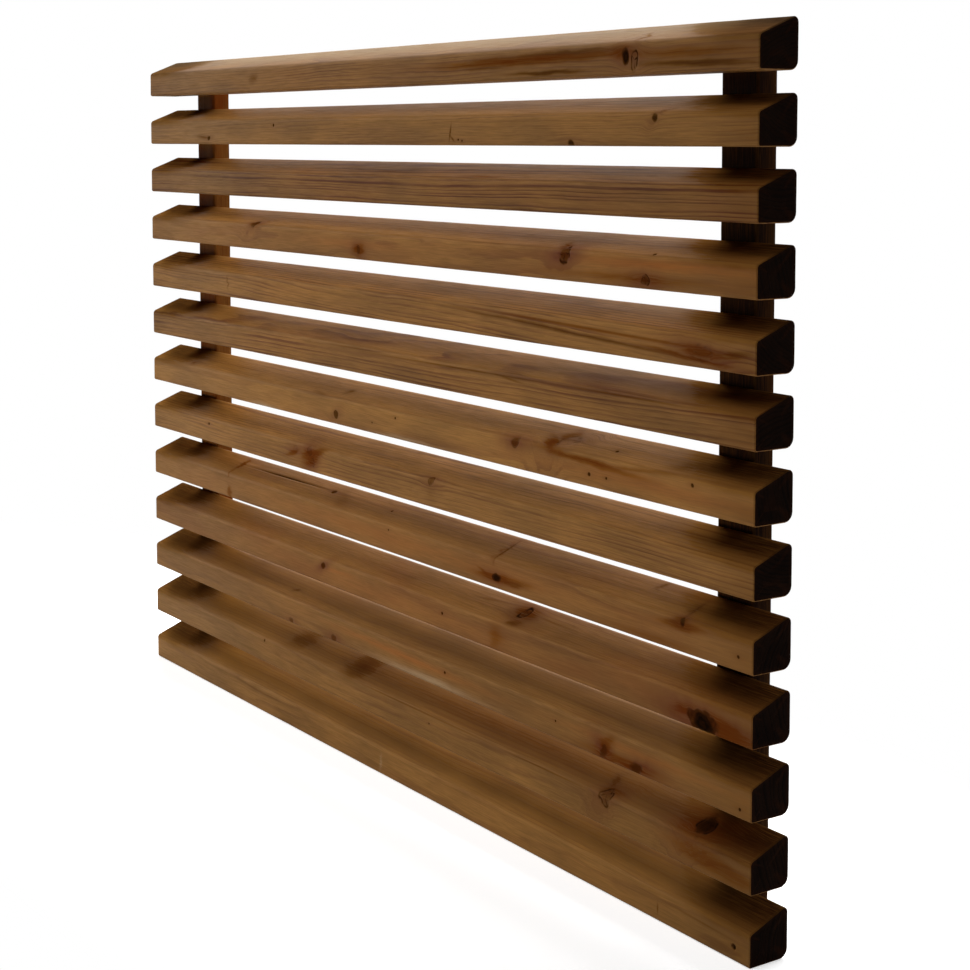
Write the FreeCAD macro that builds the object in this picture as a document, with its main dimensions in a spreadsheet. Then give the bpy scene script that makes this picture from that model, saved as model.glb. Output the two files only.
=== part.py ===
import FreeCAD, Part
import os
import Sketcher

# Slatted garden fence panel: thirteen weathered-top slats screwed from behind to two uprights.
# The panel stands on its underside. X runs along the slats, the front faces -Y and Z is up.
# The origin is the middle of the panel's box, at the level that it stands on.

SLAT_COUNT = 13
COUNTERSINK_ANGLE = 90
FULL_TURN = 360
PARALLEL_SHARE = 0.999

SIZES = (
    ("panel_width", 1200, "length of every slat"),
    ("slat_depth", 45, "front to back of a slat"),
    ("slat_rear_height", 48, "height of a slat's back face"),
    ("slat_front_height", 30, "height of a slat's front face, below the rain slope"),
    ("slat_gap", 16, "clear height between two slats at their backs"),
    ("slat_edge_radius", 5, "rounding of a slat's four long edges"),
    ("upright_width", 48, "upright seen from the front"),
    ("upright_thickness", 24, "front to back of an upright"),
    ("upright_inset", 50, "slat end to the outer edge of an upright"),
    ("upright_top_drop", 6, "top of an upright below the top of the panel"),
    ("upright_edge_radius", 3, "rounding of an upright's four long edges"),
    ("screw_length", 50, "whole length of a screw"),
    ("screw_head_diameter", 9, "widest part of the countersunk head"),
    ("screw_shank_diameter", 4.5, "shank of a screw"),
    ("screw_tip_length", 6, "tapered end of a screw"),
    ("screw_head_sink", 0.5, "head below the upright's back face"),
    ("screw_clearance", 0.1, "play around a shank"),
    ("pilot_run", 2, "pilot hole beyond a screw's tip"),
    ("screw_row_offset", 10, "screw row to the middle of its upright"),
    ("screw_rise", 9, "screw above or below the middle of a slat's back"),
)

# Sums of the sizes above that several pieces share
PITCH = "(sizes.slat_rear_height + sizes.slat_gap)"
PANEL_DEPTH = "(sizes.slat_depth + sizes.upright_thickness)"
UPRIGHT_CENTRE = "(sizes.panel_width / 2 - sizes.upright_inset - sizes.upright_width / 2)"
PANEL_HEIGHT = f"({PITCH} * {SLAT_COUNT - 1} + sizes.slat_rear_height)"
FIXING_HEIGHT = "(sizes.slat_rear_height / 2)"
HOLE_DIAMETER = "(sizes.screw_shank_diameter + 2 * sizes.screw_clearance)"
CONE_SPREAD = f"tan({COUNTERSINK_ANGLE / 2} deg)"
HEAD_HEIGHT = f"((sizes.screw_head_diameter - sizes.screw_shank_diameter) / 2 / {CONE_SPREAD})"
SUNK_DIAMETER = f"(sizes.screw_head_diameter + 2 * sizes.screw_head_sink * {CONE_SPREAD})"
GRIP = "(sizes.screw_length + sizes.screw_head_sink - sizes.upright_thickness)"

ORIGIN_POINT = (-1, 1)
CENTRE = 3

doc = FreeCAD.newDocument("fence_panel")


def make_sheet():
    """The driving dimensions, in millimetres."""
    sheet = doc.addObject("Spreadsheet::Sheet", "sizes")
    for row, (name, value, meaning) in enumerate(SIZES, start=1):
        sheet.set(f"A{row}", name)
        sheet.set(f"B{row}", str(value))
        sheet.set(f"C{row}", meaning)
        sheet.setAlias(f"B{row}", name)
    doc.recompute()


def make_body(label):
    body = doc.addObject("PartDesign::Body", label)
    body.Label = label
    return body


def origin_feature(body, role):
    return next(f for f in body.Origin.OriginFeatures if f.Role == role)


def make_sketch(body, name, role):
    sketch = body.newObject("Sketcher::SketchObject", name)
    sketch.AttachmentSupport = (origin_feature(body, role), "")
    sketch.MapMode = "FlatFace"
    return sketch


def place(body, across="0", back="0", up="0"):
    """Binds a body's place to sums of sizes."""
    body.setExpression("Placement.Base.x", across)
    body.setExpression("Placement.Base.y", back)
    body.setExpression("Placement.Base.z", up)


def amount(expression):
    """The present value of a sum of sizes."""
    return float(doc.getObject("sizes").evalExpression(expression))


def constrain(sketch, kind, places, expression):
    """Adds one dimension to a sketch and binds it to a sum of sizes."""
    index = sketch.addConstraint(Sketcher.Constraint(kind, *places, amount(expression)))
    sketch.setExpression(f"Constraints[{index}]", expression)


def draw_outline(sketch, corners):
    """Joins the corners with a closed ring of lines and returns the lines' numbers."""
    lines = []
    for start, end in zip(corners, corners[1:] + corners[:1]):
        ends = [FreeCAD.Vector(*point, 0) for point in (start, end)]
        lines.append(sketch.addGeometry(Part.LineSegment(*ends)))
    for line, following in zip(lines, lines[1:] + lines[:1]):
        sketch.addConstraint(Sketcher.Constraint("Coincident", line, 2, following, 1))
    return lines


def long_edges(feature, axis):
    """Names of the straight edges that run along one axis of the body."""
    names = []
    for number, edge in enumerate(feature.Shape.Edges, start=1):
        direction = edge.tangentAt(edge.FirstParameter)
        if abs(direction.dot(axis)) > PARALLEL_SHARE:
            names.append(f"Edge{number}")
    return names


def round_long_edges(body, feature, axis, radius):
    doc.recompute()
    fillet = body.newObject("PartDesign::Fillet", f"{body.Name}_rounding")
    fillet.Base = (feature, long_edges(feature, axis))
    fillet.setExpression("Radius", radius)
    doc.recompute()
    return fillet


def draw_fixings(sketch, centre, side):
    """Two circles where the outer and the inner screw of one crossing enter, seen along Y."""
    for row in (1, -1):
        across = f"{side} * ({centre} + {row} * sizes.screw_row_offset)"
        up = f"{FIXING_HEIGHT} + {row} * sizes.screw_rise"
        middle = FreeCAD.Vector(amount(across), amount(up), 0)
        ring = Part.Circle(middle, FreeCAD.Vector(0, 0, 1), amount(HOLE_DIAMETER) / 2)
        circle = sketch.addGeometry(ring)
        constrain(sketch, "DistanceX", (*ORIGIN_POINT, circle, CENTRE), across)
        constrain(sketch, "DistanceY", (*ORIGIN_POINT, circle, CENTRE), up)
        constrain(sketch, "Diameter", (circle,), HOLE_DIAMETER)


def check_cut(body, before, feature):
    """Stops the build if a cut took nothing from its body."""
    doc.recompute()
    if not feature.Shape.Volume < before:
        raise RuntimeError(f"{feature.Name} cuts nothing from {body.Name}")


def make_slat(number):
    """One slat: a flat back and underside, an upright front and a top that slopes up to the rear."""
    body = make_body(f"slat_{number:02d}")
    profile = make_sketch(body, f"{body.Name}_profile", "YZ_Plane")
    depth = amount("sizes.slat_depth")
    rear_top = amount("sizes.slat_rear_height")
    front_top = amount("sizes.slat_front_height")
    corners = [(0, 0), (depth, 0), (depth, rear_top), (0, front_top)]
    bottom, back, slope, front = draw_outline(profile, corners)
    profile.addConstraint(Sketcher.Constraint("Coincident", bottom, 1, *ORIGIN_POINT))
    profile.addConstraint(Sketcher.Constraint("Horizontal", bottom))
    profile.addConstraint(Sketcher.Constraint("Vertical", back))
    profile.addConstraint(Sketcher.Constraint("Vertical", front))
    constrain(profile, "DistanceX", (bottom, 1, bottom, 2), "sizes.slat_depth")
    constrain(profile, "DistanceY", (back, 1, back, 2), "sizes.slat_rear_height")
    constrain(profile, "DistanceY", (front, 2, front, 1), "sizes.slat_front_height")

    length = body.newObject("PartDesign::Pad", f"{body.Name}_length")
    length.Profile = profile
    length.SideType = "Symmetric"
    length.setExpression("Length", "sizes.panel_width")
    rounded = round_long_edges(body, length, FreeCAD.Vector(1, 0, 0), "sizes.slat_edge_radius")

    fixings = make_sketch(body, f"{body.Name}_fixings", "XZ_Plane")
    fixings.setExpression("AttachmentOffset.Base.z", "-sizes.slat_depth")
    draw_fixings(fixings, UPRIGHT_CENTRE, 1)
    pilots = body.newObject("PartDesign::Pocket", f"{body.Name}_pilots")
    pilots.Profile = fixings
    pilots.Reversed = True
    pilots.setExpression("Length", f"{GRIP} + sizes.pilot_run")
    check_cut(body, rounded.Shape.Volume, pilots)

    both_ends = body.newObject("PartDesign::Mirrored", f"{body.Name}_both_ends")
    both_ends.Originals = [pilots]
    both_ends.MirrorPlane = (origin_feature(body, "YZ_Plane"), [""])
    body.Tip = both_ends
    check_cut(body, pilots.Shape.Volume, both_ends)
    place(body, back=f"-{PANEL_DEPTH} / 2", up=f"{PITCH} * {SLAT_COUNT - number}")
    return body


def repeat_up(body, feature):
    """Repeats one crossing's feature at every slat."""
    pattern = body.newObject("PartDesign::LinearPattern", f"{body.Name}_every_slat")
    pattern.Originals = [feature]
    pattern.Direction = (origin_feature(body, "Z_Axis"), [""])
    pattern.Occurrences = SLAT_COUNT
    pattern.setExpression("Length", f"{PITCH} * {SLAT_COUNT - 1}")
    body.Tip = pattern
    doc.recompute()
    return pattern


def make_upright(label, side):
    """One upright behind the slats, drilled and countersunk from its back at every crossing."""
    body = make_body(label)
    profile = make_sketch(body, f"{label}_profile", "XY_Plane")
    half = amount("sizes.upright_width") / 2
    thickness = amount("sizes.upright_thickness")
    corners = [(-half, 0), (half, 0), (half, thickness), (-half, thickness)]
    front, outer, back, inner = draw_outline(profile, corners)
    profile.addConstraint(Sketcher.Constraint("Horizontal", front))
    profile.addConstraint(Sketcher.Constraint("Horizontal", back))
    profile.addConstraint(Sketcher.Constraint("Vertical", outer))
    profile.addConstraint(Sketcher.Constraint("Vertical", inner))
    profile.addConstraint(Sketcher.Constraint("Symmetric", front, 1, front, 2, *ORIGIN_POINT))
    constrain(profile, "DistanceX", (front, 1, front, 2), "sizes.upright_width")
    constrain(profile, "DistanceY", (outer, 1, outer, 2), "sizes.upright_thickness")

    length = body.newObject("PartDesign::Pad", f"{label}_length")
    length.Profile = profile
    length.setExpression("Length", f"{PANEL_HEIGHT} - sizes.upright_top_drop")
    rounded = round_long_edges(body, length, FreeCAD.Vector(0, 0, 1), "sizes.upright_edge_radius")

    fixings = make_sketch(body, f"{label}_fixings", "XZ_Plane")
    fixings.setExpression("AttachmentOffset.Base.z", "-sizes.upright_thickness")
    draw_fixings(fixings, "0", side)
    doc.recompute()
    drilled = body.newObject("PartDesign::Hole", f"{label}_drilled")
    drilled.Profile = fixings
    drilled.Reversed = True
    drilled.DepthType = "ThroughAll"
    drilled.HoleCutType = "Countersink"
    drilled.HoleCutCustomValues = True
    drilled.HoleCutCountersinkAngle = COUNTERSINK_ANGLE
    drilled.setExpression("Diameter", HOLE_DIAMETER)
    drilled.setExpression("HoleCutDiameter", SUNK_DIAMETER)
    check_cut(body, rounded.Shape.Volume, drilled)
    repeated = repeat_up(body, drilled)
    check_cut(body, drilled.Shape.Volume, repeated)
    place(body, f"{side} * {UPRIGHT_CENTRE}", f"sizes.slat_depth - {PANEL_DEPTH} / 2")
    return body


def make_screws(label, side, row):
    """One upright's outer or inner row of countersunk screws, a screw for every slat."""
    body = make_body(label)
    profile = make_sketch(body, f"{label}_profile", "XY_Plane")
    head = amount("sizes.screw_head_diameter") / 2
    stem = amount("sizes.screw_shank_diameter") / 2
    head_end = -amount(HEAD_HEIGHT)
    end = -amount("sizes.screw_length")
    taper = end + amount("sizes.screw_tip_length")
    corners = [(0, 0), (head, 0), (stem, head_end), (stem, taper), (0, end)]
    top, cone, shank, tip, axis = draw_outline(profile, corners)
    profile.addConstraint(Sketcher.Constraint("Coincident", top, 1, *ORIGIN_POINT))
    profile.addConstraint(Sketcher.Constraint("Horizontal", top))
    profile.addConstraint(Sketcher.Constraint("Vertical", shank))
    profile.addConstraint(Sketcher.Constraint("Vertical", axis))
    constrain(profile, "DistanceX", (top, 1, top, 2), "sizes.screw_head_diameter / 2")
    constrain(profile, "DistanceX", (axis, 1, shank, 2), "sizes.screw_shank_diameter / 2")
    constrain(profile, "DistanceY", (cone, 2, cone, 1), HEAD_HEIGHT)
    constrain(profile, "DistanceY", (tip, 2, tip, 1), "sizes.screw_tip_length")
    constrain(profile, "DistanceY", (axis, 1, axis, 2), "sizes.screw_length")

    screw = body.newObject("PartDesign::Revolution", f"{label}_screw")
    screw.Profile = profile
    screw.ReferenceAxis = (profile, ["V_Axis"])
    screw.Angle = FULL_TURN
    doc.recompute()
    repeat_up(body, screw)
    across = f"{side} * ({UPRIGHT_CENTRE} + {row} * sizes.screw_row_offset)"
    back = f"{PANEL_DEPTH} / 2 - sizes.screw_head_sink"
    place(body, across, back, f"{FIXING_HEIGHT} + {row} * sizes.screw_rise")
    return body


def check_document(bodies):
    """Stops before anything is written if a feature failed or a piece is not sound."""
    doc.recompute()
    for item in doc.Objects:
        if "Invalid" in item.State or "Error" in item.State:
            raise RuntimeError(f"{item.Name} failed: {item.State}")
    for body in bodies:
        if body.Shape.isNull() or not body.Shape.isValid():
            raise RuntimeError(f"{body.Label} has no sound shape")


def main():
    make_sheet()
    bodies = [make_slat(number) for number in range(1, SLAT_COUNT + 1)]
    for name, side in (("left", -1), ("right", 1)):
        bodies.append(make_upright(f"{name}_upright", side))
        bodies.append(make_screws(f"{name}_outer_screws", side, 1))
        bodies.append(make_screws(f"{name}_inner_screws", side, -1))
    check_document(bodies)
    os.makedirs("parts", exist_ok=True)
    for body in bodies:
        body.Shape.exportStep(f"parts/{body.Label}.step")
        print(body.Label, len(body.Shape.Solids), round(body.Shape.Volume), body.Shape.BoundBox)


main()
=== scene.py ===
import math
from collections import namedtuple

import bpy
import numpy as np
from mathutils import Matrix, Vector, noise


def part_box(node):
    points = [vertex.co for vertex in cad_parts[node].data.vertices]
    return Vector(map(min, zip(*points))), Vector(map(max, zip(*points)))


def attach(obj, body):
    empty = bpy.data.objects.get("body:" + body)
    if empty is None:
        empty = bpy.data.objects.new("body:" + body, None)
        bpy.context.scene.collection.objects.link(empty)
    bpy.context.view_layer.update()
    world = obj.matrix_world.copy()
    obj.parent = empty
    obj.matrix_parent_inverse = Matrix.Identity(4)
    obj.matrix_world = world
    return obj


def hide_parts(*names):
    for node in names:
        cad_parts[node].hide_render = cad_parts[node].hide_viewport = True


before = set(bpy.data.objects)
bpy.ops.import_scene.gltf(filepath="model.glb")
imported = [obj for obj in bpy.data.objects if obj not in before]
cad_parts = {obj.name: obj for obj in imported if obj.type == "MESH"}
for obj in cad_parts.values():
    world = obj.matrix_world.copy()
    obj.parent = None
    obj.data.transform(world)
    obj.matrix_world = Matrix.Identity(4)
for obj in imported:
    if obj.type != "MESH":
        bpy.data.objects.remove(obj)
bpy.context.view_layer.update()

# Sizes of the panel, in metres
MM = 0.001
PITCH = 64 * MM
SLAT_FRONT_HEIGHT = 30 * MM
SLAT_REAR_HEIGHT = 48 * MM
SLAT_EDGE_RADIUS = 5 * MM
SLAT_LOW_BACK_RADIUS = 9 * MM
SLAT_LOW_FRONT_RADIUS = 2.5 * MM
UPRIGHT_EDGE_RADIUS = 3 * MM
END_CHAMFER = 0.9 * MM

# Sizes of a screw and its hole, in metres, and shares of its radii and of its length
HEAD_RADIUS = 4.5 * MM
HEAD_FLAT_SHARE = 0.9
HEAD_BEVEL_SHARE = 0.985
HEAD_BEVEL = 0.12 * MM
HEAD_RIM = 0.3 * MM
SHANK_RADIUS = 2.25 * MM
NECK_SHARE = 0.85
PLAIN_SHARE = 0.36
CORE_RADIUS = 1.5 * MM
THREAD_PITCH = 2.2 * MM
THREAD_SHARES = (0.3, 0.6, 0.9)
TIP_LENGTH = 6 * MM
POINT_LENGTH = 2 * MM
POINT_SHARE = 0.6
RECESS_ARM = 2.6 * MM
RECESS_WIDTH = 1.1 * MM
RECESS_DEPTH = 1.9 * MM
RECESS_FLOOR_SHARE = 0.35
RECESS_TAPER = 0.2
CUT_OVERRUN = 0.2 * MM
HOLE_PLAY = 0.05 * MM
HOLE_DEPTH_SHARE = 0.7
SCREW_SIDES = 20
HOLE_SIDES = 28

# How each screw of a row is turned, in degrees
FIRST_TURN = 13
TURN_STEP = 41

# Fineness of the timber meshes, in metres, and the steps round an arris
LENGTH_STEP = 8 * MM
FLAT_STEP = 3 * MM
KNOT_STEP = 1.5 * MM
END_STEP = 2 * MM
ARC_STEPS = 5
# The mesh of a slat also has rings between these equal parts of its length
LENGTH_PARTS = 3
# How far round a knot they are finer, in its radii. A crack counts as a small knot, in millimetres.
KNOT_REACH_ALONG = 1.4
KNOT_REACH_UP = 1.3
CRACK_RADIUS = 1.6
# Edges that turn by more than this, in degrees, are shaded sharp
SHARP_ANGLE = 40

# Surface of the timber: depths in metres, and noise waves in a metre along X, Y and Z
PLANING_DEPTH = 0.10 * MM
PLANING_WAVES = (16, 60, 60)
DENT_DEPTH = 0.14 * MM
DENT_WAVES = (45, 130, 130)
KNOT_LINE_DEPTH = 0.25 * MM
CRACK_DEPTH = 0.9 * MM
# Step in the noise from slat to slat
SEED_STEP = 7.3

# Sawn ends: the rings of the mesh on them, as shares of the section, each with its wear
END_RINGS = ((0.45, 0.0), (0.8, 0.0), (1.0, 1.0))
END_WEAR = 0.4

# Grain of the timber, in millimetres along it and across it: the sizes of its patches and how far it sways
LONG_SWAY = (420, 55, 55), (14, 14, 14)
SHORT_SWAY = (60, 14, 14), (2, 2, 2)
RAGGED_SWAY = (34, 9, 9), (26, 5, 5)
FRAYED_SWAY = (9, 2, 2), (5, 1, 1)
FIBRE_SIZE = (38, 0.9, 0.9)
CLOUD_SIZE = (150, 40, 40)
FADE_SIZE = (170, 18, 18)
# Growth rings are uneven: over how many millimetres, and by how many rings
RING_PATCH = 9.0
RING_UNEVENNESS = 1.6
# Darkness across one growth ring, from early to late wood
RING_STOPS = ((0.0, 0.05), (0.45, 0.15), (0.85, 1.0), (0.95, 0.85), (1.0, 0.05))
# Height of a slat's middle, that its pith is placed from, in millimetres
SLAT_MIDDLE = 20
# A mark is straight where half its width or its length is under this, in millimetres
FINE_MARK = 2
# How deep the marks go, and how near to the arris a knot leans over it, in millimetres
MARK_DEPTH = 6.0
UPRIGHT_MARK_DEPTH = 30.0
ARRIS_BAND = 14.0
# Where the sawn back begins and where it is full, in millimetres before the back
SAWN_BAND = 3.5, 0.8

# Camera, in metres, degrees and millimetres of lens
CAMERA_PLACE = (1.7705, -1.1100, 0.7106)
CAMERA_YAW = 55.615
CAMERA_PITCH = -4.408
CAMERA_LENS = 70.236
SENSOR_WIDTH = 36.0
CAMERA_SHIFT = -0.2062
CAMERA_CLIP = 0.05

# Marks of the timber. Places are in millimetres: along the panel from its middle, and up the face of the slat
# from its lower front edge, over the front and on up the slope. On an upright they are up its height and
# along the panel. Tilts are in degrees.
# A knot has a radius, a stretch along the grain, and strengths of its dark heart, dark lines and red stain.
# It lies as deep below the face as its sink.
Knot = namedtuple("Knot", "along up radius stretch tilt heart line stain sink", defaults=(0.25,))
# A mark is a soft streak or cloud of a tone, with half its length and half its width.
Mark = namedtuple("Mark", "along up length width tilt tone strength")
# A length of timber: how far the pith lies behind and above its middle, the slope of the grain, the width of
# a growth ring, the contrast of the rings, lightness, redness, and its knots and marks.
Timber = namedtuple("Timber", "behind above lean ring contrast light red knots marks")


def dot(along, up, radius=1.6, heart=0.85):
    """A pin knot, no more than a dark dot."""
    return Knot(along, up, radius, 1.1, 0, heart, 0.2, 0.25)


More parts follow.
